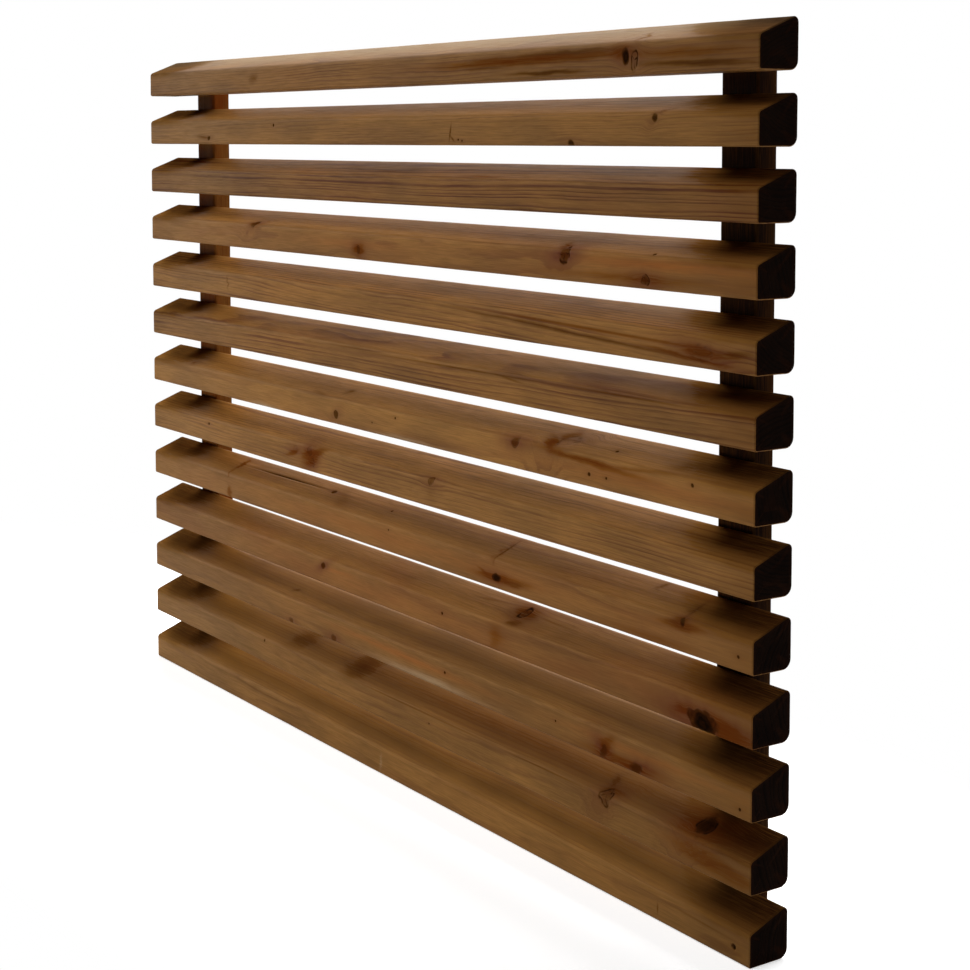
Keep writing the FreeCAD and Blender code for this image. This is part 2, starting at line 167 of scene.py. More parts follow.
SLATS = (
    Timber(30, -85, 0.010, 3.3, 0.60, 1.01, 0.10, (
        Knot(423, 17, 7.5, 0.62, 5, 0.95, 0.5, 0.5),
        Knot(436, 13, 9.0, 0.50, 0, 0.18, 1.0, 0.3)), (
        Mark(275, 19, 150, 4.5, 0.6, "red", 0.9),
        Mark(330, 24, 110, 2.2, 0.4, "dark", 0.6),
        Mark(200, 13, 60, 2.0, -0.8, "dark", 0.4),
        Mark(300, 6, 60, 2.2, 0, "dark", 0.8),
        Mark(525, 8, 75, 3.2, -1.2, "dark", 0.75),
        Mark(510, 18, 90, 5, 0, "red", 0.5),
        Mark(415, 22, 16, 7, 0, "red", 0.6),
        Mark(-300, 16, 9, 6, 20, "dark", 0.4),
        Mark(437, 43, 5, 14, 15, "red", 0.55),
        # Painted light: the whole slope of the top slat is paler, where the light from above falls on it
        # unshaded
        Mark(0, 74, 1500, 30, 0, "pale", 0.85))),
    Timber(40, 90, 0.006, 3.4, 0.40, 1.05, 0.00, (
        Knot(465, 26, 4.2, 0.9, 40, 0.8, 0.7, 0.4),
        Knot(342, 2, 4.0, 1.3, 0, 0.85, 0.5, 0.3),
        Knot(-425, 8, 3.0, 1.5, 0, 0.7, 0.3, 0.3),
        dot(-250, 23, 1.9), dot(150, 6, 1.2), dot(157, 5, 1.2)), (
        Mark(135, 13, 1.3, 8, -12, "dark", 0.8),
        Mark(139, 7, 5, 1.3, -35, "dark", 0.6),
        Mark(-440, 9, 20, 1.8, -4, "dark", 0.6),
        Mark(475, 36, 14, 2.5, 30, "dark", 0.35))),
    Timber(10, 110, 0.004, 4.4, 0.95, 0.92, 0.15, (), (
        Mark(0, 44, 70, 4, -1, "dark", 0.35),
        Mark(40, 52, 26, 4, 4, "dark", 0.35),
        Mark(185, 38, 45, 3, 0, "red", 0.40))),
    Timber(110, 20, 0.010, 4.4, 0.40, 1.18, 0.25, (
        Knot(-304, 34, 5, 1.3, 20, 0.5, 0.5, 0.6),
        Knot(-52, 11, 4.5, 0.8, -25, 0.45, 0.4, 0.65),
        Knot(332, 26, 7.5, 1.0, 15, 0.45, 0.9, 1.0),
        Knot(454, 8, 5, 1.1, 0, 0.45, 0.8, 0.9),
        dot(461, 35, 2.0)), (
        Mark(480, 22, 120, 5, 0, "orange", 0.75),
        Mark(430, 9, 130, 5, 0, "red", 0.45),
        Mark(-70, 17, 90, 5, 0, "orange", 0.4),
        Mark(-52, 12, 14, 8, 10, "red", 0.6),
        Mark(-304, 33, 16, 6, 0, "red", 0.55),
        Mark(326, 40, 7, 9, 10, "dark", 0.45))),
    Timber(50, 80, -0.030, 4.0, 0.75, 1.20, 0.05, (
        Knot(531, 13, 7, 1.8, -8, 0.12, 0.25, 0.75),), (
        Mark(-375, 18, 2.4, 9, 5, "dark", 0.45),
        Mark(300, 18, 220, 2.4, -2.6, "dark", 0.42),
        Mark(400, 21, 180, 1.6, -1.6, "red", 0.7),
        Mark(390, 13, 150, 1.7, -2.4, "dark", 0.55),
        Mark(505, 9, 60, 2.2, -4, "red", 0.7),
        Mark(531, 14, 26, 6, -5, "red", 0.6),
        Mark(570, 15, 34, 4, 5, "dark", 0.6))),
    Timber(25, -95, 0.014, 4.4, 0.80, 1.04, 0.10, (), (
        Mark(150, 26.5, 190, 1.1, 0.3, "dark", 0.5),
        Mark(240, 25, 30, 1.6, -6, "dark", 0.4),
        Mark(-60, 28, 70, 1.0, 0, "dark", 0.4),
        Mark(420, 28, 120, 1.2, 0, "dark", 0.45))),
    Timber(120, 25, 0.012, 4.6, 0.38, 1.22, 0.06, (
        Knot(-104, 12, 4.2, 1.0, 30, 0.65, 0.7, 0.5),
        Knot(251, 28, 5.5, 1.2, 0, 0.45, 0.45, 0.9),
        Knot(322, 46, 10, 1.2, 35, 0.08, 0.35, 0.35),
        dot(25, 23, 1.4), dot(-24, 12, 1.0), dot(372, 12, 2.0), dot(398, 12, 1.5), dot(396, 46, 2.0),
        dot(520, 24, 2.0)), (
        Mark(370, 24, 75, 3.2, -3, "red", 0.95),
        Mark(305, 36, 20, 6, -40, "red", 0.8),
        Mark(312, 55, 10, 16, -30, "red", 0.45),
        Mark(450, 14, 150, 8, 0, "orange", 0.45),
        Mark(450, 27, 70, 2.4, 3, "red", 0.45),
        Mark(-100, 49, 10, 6, 25, "dark", 0.45),
        Mark(-146, 34, 22, 3, -8, "dark", 0.3),
        Mark(-490, 38, 12, 6, 0, "red", 0.45),
        Mark(508, 45, 40, 10, 10, "dark", 0.5),
        Mark(-280, 2, 30, 2.5, 0, "pale", 0.55),
        Mark(47, 2, 64, 2.5, 0, "pale", 0.55))),
    Timber(30, 85, 0.006, 3.9, 0.60, 1.18, 0.05, (
        Knot(-201, 22, 5.5, 1.0, 10, 0.1, 0.2, 0.6),
        Knot(-167, 25, 6.0, 0.8, -20, 0.2, 0.4, 0.9),
        Knot(-161, 11, 5.5, 0.9, 25, 0.15, 0.4, 0.9),
        Knot(96, 29, 4.5, 1.2, 0, 0.4, 0.5, 0.4),
        dot(-433, 24, 1.8)), (
        Mark(-152, 24, 30, 5, 16, "red", 0.8),
        Mark(-166, 17, 22, 11, 15, "red", 0.75),
        Mark(-160, 19, 16, 8, 30, "dark", 0.25),
        Mark(-210, 17, 22, 3, 14, "red", 0.6),
        Mark(96, 14, 12, 10, 0, "dark", 0.2))),
    Timber(100, -35, -0.010, 4.6, 0.36, 1.03, 0.28, (
        Knot(219, 12, 4.0, 1.7, 0, 0.95, 0.8, 0.85),
        Knot(508, 28, 4.2, 0.8, 0, 0.8, 0.8, 0.6),
        Knot(-152, 56, 3.0, 1.6, 0, 0.7, 0.4, 0.4),
        dot(582, 13, 1.7), dot(-18, 54, 1.6), dot(10, 25, 1.1)), (
        Mark(228, 12, 52, 4.5, 2, "red", 0.8),
        Mark(245, 11, 22, 2.6, 3, "dark", 0.85),
        Mark(198, 13, 14, 2.0, -14, "dark", 0.7),
        Mark(212, 46, 5, 26, 3, "red", 0.35),
        Mark(213, 46, 1.9, 24, 3, "dark", 0.55),
        Mark(510, 25, 36, 4.5, 3, "red", 0.7),
        Mark(506, 29, 13, 6, 10, "dark", 0.6),
        Mark(508, 45, 7, 16, 0, "dark", 0.35),
        Mark(508, 46, 1.9, 15, 0, "dark", 0.45),
        Mark(444, 66, 5, 10, -25, "dark", 0.45),
        Mark(-258, 56, 76, 0.9, 0.5, "crack", 0.9),
        Mark(-118, 48, 30, 12, -30, "dark", 0.3),
        Mark(-384, 56, 5, 12, 5, "red", 0.8),
        Mark(-383, 34, 3, 16, -3, "red", 0.5),
        Mark(-377, 7, 7, 8, 0, "red", 0.85),
        Mark(20, 16, 330, 9, 0, "orange", 0.35),
        Mark(460, 5, 90, 4, 0, "red", 0.35))),
    Timber(115, 30, 0.012, 4.4, 0.34, 0.97, 0.35, (
        Knot(-136, 21, 3.6, 1.4, 25, 0.65, 0.5, 0.85),
        Knot(236, 56, 8.5, 0.7, 0, 0.35, 1.0, 0.7),
        Knot(537, 8, 10.0, 1.8, -6, 1.0, 0.6, 1.0, 0.0),
        dot(118, 18, 1.8)), (
        Mark(-105, 20, 32, 3, 3, "orange", 0.6),
        Mark(170, 58, 30, 2.2, 6, "dark", 0.35),
        Mark(285, 56, 34, 2.2, -3, "dark", 0.35),
        Mark(236, 56, 24, 15, 0, "dark", 0.55),
        Mark(240, 38, 13, 6, 0, "dark", 0.7),
        Mark(219, 15, 15, 14, 0, "red", 0.5),
        Mark(512, 14, 20, 7, 15, "red", 0.4),
        Mark(568, 8, 34, 9, -10, "red", 0.8),
        Mark(0, 12, 300, 9, 0, "orange", 0.25))),
    Timber(105, 20, -0.008, 5.0, 0.30, 0.92, 0.15, (
        Knot(-215, 3, 4.0, 1.2, 0, 0.4, 0.3, 0.5),
        Knot(-112, 4, 4.5, 1.2, 0, 0.4, 0.3, 0.55),
        Knot(396, 8, 6.5, 0.8, -30, 0.50, 0.35, 1.0),
        Knot(444, 5, 5.5, 1.6, 10, 0.60, 0.35, 1.0),
        dot(123, 19, 1.8), dot(320, 18, 1.2), dot(586, 9, 1.6)), (
        # Painted shade: the whole slope darker, under the slat above
        Mark(0, 58, 1500, 20, 0, "dark", 0.25),
        Mark(90, 4, 90, 4, 0, "pale", 0.7),
        Mark(40, 18, 130, 4, -0.5, "orange", 0.7),
        Mark(450, 19, 120, 4, 0, "orange", 0.4),
        Mark(-228, 46, 8, 4, 25, "dark", 0.45),
        Mark(400, 17, 16, 7, 30, "red", 0.6),
        Mark(420, 6, 60, 6, 0, "red", 0.6),
        Mark(397, 9, 10, 8, -30, "dark", 0.5))),
    Timber(95, 30, 0.006, 4.6, 0.34, 0.97, 0.03, (
        Knot(398, 31, 8.5, 0.9, 35, 0.35, 0.85, 0.45),
        Knot(525, 48, 12.5, 0.75, 20, 0.85, 1.0, 0.8),
        dot(-285, 28, 1.8), dot(92, 20, 1.0)), (
        # Painted shade: the whole slope darker, under the slat above
        Mark(0, 56, 1500, 24, 0, "dark", 0.36),
        Mark(-223, 56, 34, 24, 8, "dark", 0.6),
        Mark(-80, 56, 30, 28, 12, "dark", 0.85),
        Mark(250, 54, 330, 20, 0, "red", 0.35),
        Mark(70, 29, 160, 0.9, 0, "dark", 0.55),
        Mark(300, 28.5, 80, 0.9, 0, "dark", 0.5),
        Mark(392, 52, 8, 13, 5, "dark", 0.5),
        Mark(565, 50, 45, 14, 0, "dark", 0.55),
        Mark(400, 40, 18, 10, 0, "dark", 0.45),
        Mark(545, 36, 60, 12, 0, "dark", 0.6),
        Mark(556, 13, 60, 10, -5, "red", 0.65))),
    Timber(110, -25, 0.006, 4.6, 0.32, 1.07, 0.03, (
        Knot(580, 13, 2.4, 1.0, 0, 1.0, 0.2, 0.1, 4.0),), (
        # Painted shade: the whole slope darker, under the slat above
        Mark(0, 56, 1500, 24, 0, "dark", 0.36),
        Mark(-8, 14, 2.2, 8, -5, "pale", 0.45),
        Mark(477, 12, 1.1, 5, 0, "dark", 0.5),
        Mark(-300, 24, 90, 1.6, -1, "dark", 0.25),
        Mark(540, 20, 60, 1.4, -2, "dark", 0.35))),
)

# Painted light and shade on every slat: painted shade, darker and redder, on the slope where it crosses the
# uprights and over the left end, and on the front at the right end; painted light, paler, on the front at the
# left
PAINTED_LIGHT_AND_SHADE = (
    Mark(585, 54, 75, 26, 0, "red", 0.38),
    Mark(590, 72, 85, 36, 0, "painted_shade", 0.85),
    Mark(600, 12, 60, 20, 0, "dark", 0.22),
    Mark(-500, 14, 170, 24, 0, "pale", 0.12),
    Mark(-520, 60, 60, 30, 0, "red", 0.30),
    Mark(-572, 68, 75, 36, 0, "painted_shade", 0.66),
)

UPRIGHTS = {
    "left_upright": Timber(70, 15, 0.006, 3.8, 0.55, 0.80, 1.00, (), ()),
    # Painted shade on the right upright: it is darker than the left one, and near black over its outer side
    # and the outer edge of its front
    "right_upright": Timber(60, -25, -0.004, 4.2, 0.60, 0.45, 0.40, (), (
        Mark(400, 555, 3000, 90, 0, "painted_shade", 1.0),)),
}

# Softboxes: place and target in metres, width and height in metres, power in watts
Lamp = namedtuple("Lamp", "name place target width height power")
LAMPS = (
    Lamp("front_softbox", (-0.4, -0.9, 2.7), (-0.1, 0.0, 0.5), 2.4, 1.2, 35),
    Lamp("low_strip", (-0.1, -0.8, 0.12), (-0.05, 0.0, 0.15), 1.6, 0.2, 3.7),
    Lamp("left_back_softbox", (-2.3, 2.3, 2.75), (0.0, 0.0, 0.45), 2.3, 2.0, 271),
    Lamp("back_softbox", (0.0, 2.6, 2.2), (0.0, 0.0, 0.4), 2.6, 1.6, 69),
    Lamp("rear_fill", (0.1, 1.7, 0.35), (-0.3, 0.0, 0.4), 0.8, 0.6, 12),
)
# How strongly the white surround lights the panel, and how bright the floor is where it is mirrored
WORLD_LIGHT = 0.02
MIRRORED_FLOOR = 0.25

# The floor, in metres. Its shadow shows near the panel, in an oval, and is lifted towards white.
FLOOR_HALF = 12.0
SHADOW_OVAL = (0.6, 2.0, 1.0)
SHADOW_FADE = 0.35, 1.0
SHADOW_LIFT = 0.6


# Colour

def linear(red, green, blue):
    """The linear colour of an 8-bit sRGB colour, with full alpha."""
    shares = (value / 255 for value in (red, green, blue))
    return tuple(s / 12.92 if s <= 0.04045 else ((s + 0.055) / 1.055) ** 2.4 for s in shares) + (1.0,)


EARLY_WOOD = linear(131, 91, 42)
LATE_WOOD = linear(79, 38, 13)
RED_WOOD = linear(112, 54, 15)
KNOT_WOOD = linear(54, 28, 9)
KNOT_HEART = linear(18, 9, 4)
KNOT_LINE = linear(34, 18, 9)
WORN_EDGE = linear(150, 106, 52)
# End grain: dark where it drinks in the stain, and darker still, near black, as painted shade of ends that no
# light reaches
END_EARLY = linear(24, 12, 6)
END_LATE = linear(14, 7, 4)
TONES = {
    "dark": linear(67, 35, 14),
    "red": linear(94, 44, 12),
    "orange": linear(148, 86, 28),
    "pale": linear(160, 134, 100),
    "crack": linear(26, 14, 8),
    # Painted shade: near black, for recesses and sides that no light reaches
    "painted_shade": linear(28, 13, 6),
}
# How fast each tone takes the gloss off the wood; the painted shade takes it off fastest
DULLNESS = {"dark": 1.0, "red": 1.0, "crack": 1.0, "painted_shade": 2.5}
WOOD_GLOSS = 0.18
DULL_GLOSS = 0.0
UPRIGHT_GLOSS = 0.02
END_GLOSS = 0.03
# Share of the colour that is left on the sawn backs
SAWN_BACK = 0.45
STEEL = linear(176, 158, 112)
DULL_STEEL = linear(112, 96, 66)
LIT_FLOOR = linear(225, 225, 225)
SHADOWED_FLOOR = linear(235, 235, 235)
WHITE = (1, 1, 1, 1)


class Graph:
    """One node tree, with a short call for each kind of step."""

    def __init__(self, tree):
        self.tree = tree

    def feed(self, socket, value):
        """Links a socket to the input, or sets the input to a constant."""
        if isinstance(value, bpy.types.NodeSocket):
            self.tree.links.new(value, socket)
        else:
            socket.default_value = value

    def add(self, kind, *values, **settings):
        """A node with its settings, its first inputs fed in order."""
        node = self.tree.nodes.new(kind)
        for name, value in settings.items():
            setattr(node, name, value)
        for socket, value in zip(node.inputs, values):
            self.feed(socket, value)
        return node

    def math(self, operation, *values, clamp=False):
        node = self.add("ShaderNodeMath", *values, operation=operation, use_clamp=clamp)
        return node.outputs["Value"]

    def vector(self, operation, *values):
        node = self.add("ShaderNodeVectorMath", *values, operation=operation)
        return node.outputs["Value" if operation in ("LENGTH", "DOT_PRODUCT") else "Vector"]

    def scaled(self, vector, factor):
        node = self.add("ShaderNodeVectorMath", vector, operation="SCALE")
        self.feed(node.inputs["Scale"], factor)
        return node.outputs["Vector"]

    def noise(self, vector, detail=2.0, roughness=0.5):
        """A noise node, whose first output is grey and second is a colour."""
        node = self.add("ShaderNodeTexNoise")
        self.feed(node.inputs["Vector"], vector)
        self.feed(node.inputs["Scale"], 1.0)
        self.feed(node.inputs["Detail"], detail)
        self.feed(node.inputs["Roughness"], roughness)
        return node

    def grey_noise(self, vector, detail=2.0, roughness=0.5):
        return self.noise(vector, detail, roughness).outputs[0]

    def sway(self, vector, lengths, reach):
        """Moves a place about by noise of the given lengths, as far as the reach on each axis."""
        spread = self.noise(self.vector("DIVIDE", vector, lengths)).outputs["Color"]
        away = self.vector("MULTIPLY", self.vector("SUBTRACT", spread, (0.5, 0.5, 0.5)), reach)
        return self.vector("ADD", vector, away)

    def range(self, value, low, high, to_low=0.0, to_high=1.0):
        """Smoothly maps a value between two limits."""
        node = self.add("ShaderNodeMapRange", interpolation_type="SMOOTHSTEP")
        for name, number in (("Value", value), ("From Min", low), ("From Max", high),
                             ("To Min", to_low), ("To Max", to_high)):
            self.feed(node.inputs[name], number)
        return node.outputs["Result"]

    def distance(self, first, second):
        """How far a point is from zero, from its two coordinates."""
        squares = [self.math("MULTIPLY", value, value) for value in (first, second)]
        return self.math("SQRT", self.math("ADD", *squares))

    def bell(self, value, width):
        """1 where the value is zero, falling away over the width."""
        share = self.math("DIVIDE", value, width)
        return self.math("EXPONENT", self.math("MULTIPLY", self.math("MULTIPLY", share, share), -1.0))

    def ramp(self, value, stops):
        """A grey curve through (place, level) stops."""
        node = self.add("ShaderNodeValToRGB", value)
        elements = node.color_ramp.elements
        while len(elements) < len(stops):
            elements.new(1.0)
        for element, (place, level) in zip(elements, stops):
            element.position = place
            element.color = (level, level, level, 1.0)
        return node.outputs["Color"]

    def mix(self, share, first, second, blend="MIX"):
        node = self.add("ShaderNodeMix", data_type="RGBA", blend_type=blend)
        self.feed(node.inputs["Factor"], share)
        self.feed(node.inputs[6], first)
        self.feed(node.inputs[7], second)
        return node.outputs[2]

    def bump(self, height, strength, distance):
        node = self.add("ShaderNodeBump")
        self.feed(node.inputs["Strength"], strength)
        self.feed(node.inputs["Distance"], distance)
        self.feed(node.inputs["Height"], height)
        return node.outputs["Normal"]


def new_material(name):
    """A material with its node graph and its shader."""
    material = bpy.data.materials.new(name)
    material.use_nodes = True
    return material, Graph(material.node_tree), material.node_tree.nodes["Principled BSDF"]


def new_group(name, inputs, outputs):
    """A node group with its sockets: its graph, what its input node gives and what its output node takes."""
    group = bpy.data.node_groups.new(name, "ShaderNodeTree")
    for in_out, sockets in (("INPUT", inputs), ("OUTPUT", outputs)):
        for socket, kind in sockets.items():
            group.interface.new_socket(socket, in_out=in_out, socket_type="NodeSocket" + kind)
    graph = Graph(group)
    return group, graph, graph.add("NodeGroupInput").outputs, graph.add("NodeGroupOutput").inputs


def knot_group():
    """A branch through the timber: bends the grain round it and masks its heart, dark lines and stain."""
    group, g, given, made = new_group(
        "knot",
        {"Place": "Vector", "Centre": "Vector", "Axis": "Vector", "Along": "Vector", "Across": "Vector",
         "Heart": "Float", "Line": "Float", "Stain": "Float"},
        {"Shift": "Vector", "Heart": "Float", "Line": "Float", "Stain": "Float", "Rings": "Float"})
    away = g.vector("SUBTRACT", given["Place"], given["Centre"])
    spread = g.noise(g.scaled(given["Place"], 0.09), 1.0).outputs["Color"]
    wobble = g.add("ShaderNodeSeparateColor", spread).outputs
    a = g.vector("DOT_PRODUCT", away, given["Along"])
    a = g.math("ADD", a, g.range(wobble["Red"], 0.2, 0.8, -0.24, 0.24))
    b = g.vector("DOT_PRODUCT", away, given["Across"])
    b = g.math("ADD", b, g.range(wobble["Green"], 0.2, 0.8, -0.24, 0.24))
    reach = g.distance(a, b)
    inside = g.range(reach, 1.25, 0.6)
    turn = g.math("ARCTAN2", b, a)
    bent_turn = g.math("MULTIPLY_ADD", turn, 1.5, g.math("MULTIPLY", wobble["Blue"], 5))
    spokes = g.math("ABSOLUTE", g.math("SINE", bent_turn))
    crack = g.math("MULTIPLY", g.range(spokes, 0.28, 0.0), inside)
    broken = g.range(wobble["Blue"], 0.38, 0.58, 0.05, 1.0)
    rim = g.math("MULTIPLY", g.bell(g.math("SUBTRACT", reach, 1.0), 0.17), broken)
    wide = g.distance(g.math("MULTIPLY", a, 0.42), b)
    along_axis = g.scaled(given["Axis"], g.vector("DOT_PRODUCT", away, given["Axis"]))
    across = g.vector("SUBTRACT", away, along_axis)
    g.feed(made["Shift"], g.scaled(across, g.math("MULTIPLY", g.bell(wide, 1.5), -0.85)))
    g.feed(made["Heart"], g.math("MULTIPLY", inside, given["Heart"]))
    g.feed(made["Line"], g.math("MULTIPLY", g.math("MAXIMUM", rim, crack), given["Line"]))
    g.feed(made["Stain"], g.math("MULTIPLY", g.bell(wide, 1.75), given["Stain"]))
    waves = g.math("SINE", g.math("MULTIPLY_ADD", reach, 13.0, g.math("MULTIPLY", wobble["Red"], 6.0)))
    g.feed(made["Rings"], g.math("MULTIPLY_ADD", waves, 0.15, 0.85))
    return group


def mark_group():
    """A soft streak or cloud on one face."""
    group, g, given, made = new_group(
        "mark",
        {"Place": "Vector", "Centre": "Vector", "Along": "Vector", "Across": "Vector", "Out": "Vector"},
        {"Mask": "Float"})
    away = g.vector("SUBTRACT", given["Place"], given["Centre"])
    total = 0.0
    for direction in ("Along", "Across", "Out"):
        part = g.vector("DOT_PRODUCT", away, given[direction])
        total = g.math("MULTIPLY_ADD", part, part, total)
    g.feed(made["Mask"], g.math("EXPONENT", g.math("MULTIPLY", total, -1.0)))
    return group


class Face:
    """The weather face of a slat: turns places up the front and the slope into points of the frame."""

    def __init__(self, low):
        self.low = low / MM
        rise = (SLAT_REAR_HEIGHT - SLAT_FRONT_HEIGHT) / MM
        run = (BACK - FRONT) / MM
        self.slope = Vector((0, run, rise)).normalized()
        self.slope_length = math.hypot(run, rise)
        self.front_height = SLAT_FRONT_HEIGHT / MM

    def point(self, along, up):
        """The point, the direction up the face and the direction out of it, in millimetres."""
        corner = Vector((along, FRONT / MM, self.low + min(up, self.front_height)))
        if up <= self.front_height:
            return corner, Vector((0, 0, 1)), Vector((0, -1, 0))
        return corner + self.slope * (up - self.front_height), self.slope, Vector((1, 0, 0)).cross(self.slope)

    def branch(self, up):
        """The directions up and out of a knot, which leans over the arris where it lies close to it."""
        over = min(max((up - self.front_height) / ARRIS_BAND + 0.5, 0), 1)
        out = Vector((0, -1, 0)).slerp(Vector((1, 0, 0)).cross(self.slope), over)
        return out.cross(Vector((1, 0, 0))), out


# A knot or a mark in the frame: its centre, its axis or outward direction, and its two directions across,
# each divided by the size that way, in millimetres
Spot = namedtuple("Spot", "source centre axis along across")


def knot_spots(timber, face):
    """The knots of a slat, each with its branch as the axis."""
    spots = []
    for knot in timber.knots:
        centre = face.point(knot.along, knot.up)[0]
        up, out = face.branch(knot.up)
        tilt = math.radians(knot.tilt)
        along = (Vector((1, 0, 0)) * math.cos(tilt) + up * math.sin(tilt)) / (knot.radius * knot.stretch)
        across = (up * math.cos(tilt) - Vector((1, 0, 0)) * math.sin(tilt)) / knot.radius
        spots.append(Spot(knot, centre, out, along, across))
    return spots


def mark_spots(timber, face):
    """The marks of a slat: its own, and the painted light and shade that every slat shares."""
    spots = []
    for mark in timber.marks + PAINTED_LIGHT_AND_SHADE:
        centre, up, out = face.point(mark.along, mark.up)
        tilt = math.radians(mark.tilt)
        along = (Vector((1, 0, 0)) * math.cos(tilt) + up * math.sin(tilt)) / mark.length
        across = (up * math.cos(tilt) - Vector((1, 0, 0)) * math.sin(tilt)) / mark.width
        spots.append(Spot(mark, centre, out / MARK_DEPTH, along, across))
    return spots


def upright_spots(timber, low):
    """The marks of an upright, which lie on its front and fade to the rear. As in its material, the height
    comes first and the way along the panel last."""
    return [Spot(mark, Vector((mark.along, low.y / MM, mark.up)), Vector((0, 1, 0)) / UPRIGHT_MARK_DEPTH,
                 Vector((1, 0, 0)) / mark.length, Vector((0, 0, 1)) / mark.width) for mark in timber.marks]


class Grain:
    """Growth rings, fibres, clouds and knots of a timber, as sockets of its material."""

    def __init__(self, g, timber, pith, knots, upright):
        place = g.scaled(g.add("ShaderNodeTexCoord").outputs["Object"], 1 / MM)
        if upright:
            parts = g.add("ShaderNodeSeparateXYZ", place).outputs
            place = g.add("ShaderNodeCombineXYZ", parts["Z"], parts["Y"], parts["X"]).outputs["Vector"]
        self.place = place
        moved = place
        self.heart = self.line = self.stain = self.rings = 0.0
        for spot in knots:
            node = g.add("ShaderNodeGroup", node_tree=KNOT)
            for name, value in (("Place", place), ("Centre", spot.centre), ("Axis", spot.axis),
                                ("Along", spot.along), ("Across", spot.across), ("Heart", spot.source.heart),
                                ("Line", spot.source.line), ("Stain", spot.source.stain)):
                g.feed(node.inputs[name], value)
            moved = g.vector("ADD", moved, node.outputs["Shift"])
            self.heart = g.math("MAXIMUM", self.heart, node.outputs["Heart"])
            self.line = g.math("MAXIMUM", self.line, node.outputs["Line"])
            self.stain = g.math("MAXIMUM", self.stain, node.outputs["Stain"])
            heart_rings = g.math("MULTIPLY", node.outputs["Rings"], node.outputs["Heart"])
            self.rings = g.math("MAXIMUM", self.rings, heart_rings)
        moved = g.sway(g.sway(moved, *LONG_SWAY), *SHORT_SWAY)
        parts = g.add("ShaderNodeSeparateXYZ", moved).outputs
        off_y = g.math("SUBTRACT", parts["Y"], pith[0])
        off_z = g.math("SUBTRACT", parts["Z"], pith[1])
        off_z = g.math("SUBTRACT", off_z, g.math("MULTIPLY", parts["X"], timber.lean))
        radius = g.distance(off_y, off_z)
        uneven = g.add("ShaderNodeTexNoise", noise_dimensions="1D")
        g.feed(uneven.inputs["W"], g.math("DIVIDE", radius, RING_PATCH))
        g.feed(uneven.inputs["Scale"], 1.0)
        even = g.math("DIVIDE", radius, timber.ring)
        phase = g.math("MULTIPLY_ADD", uneven.outputs[0], RING_UNEVENNESS, even)
        self.late = g.ramp(g.math("FRACT", phase), RING_STOPS)
        self.fibre = g.grey_noise(g.vector("DIVIDE", moved, FIBRE_SIZE), 4.0, 0.65)
        self.clouds = g.noise(g.vector("DIVIDE", place, CLOUD_SIZE), 3.0)
        self.fade = g.range(g.grey_noise(g.vector("DIVIDE", moved, FADE_SIZE)), 0.35, 0.65, 0.35, 1.1)


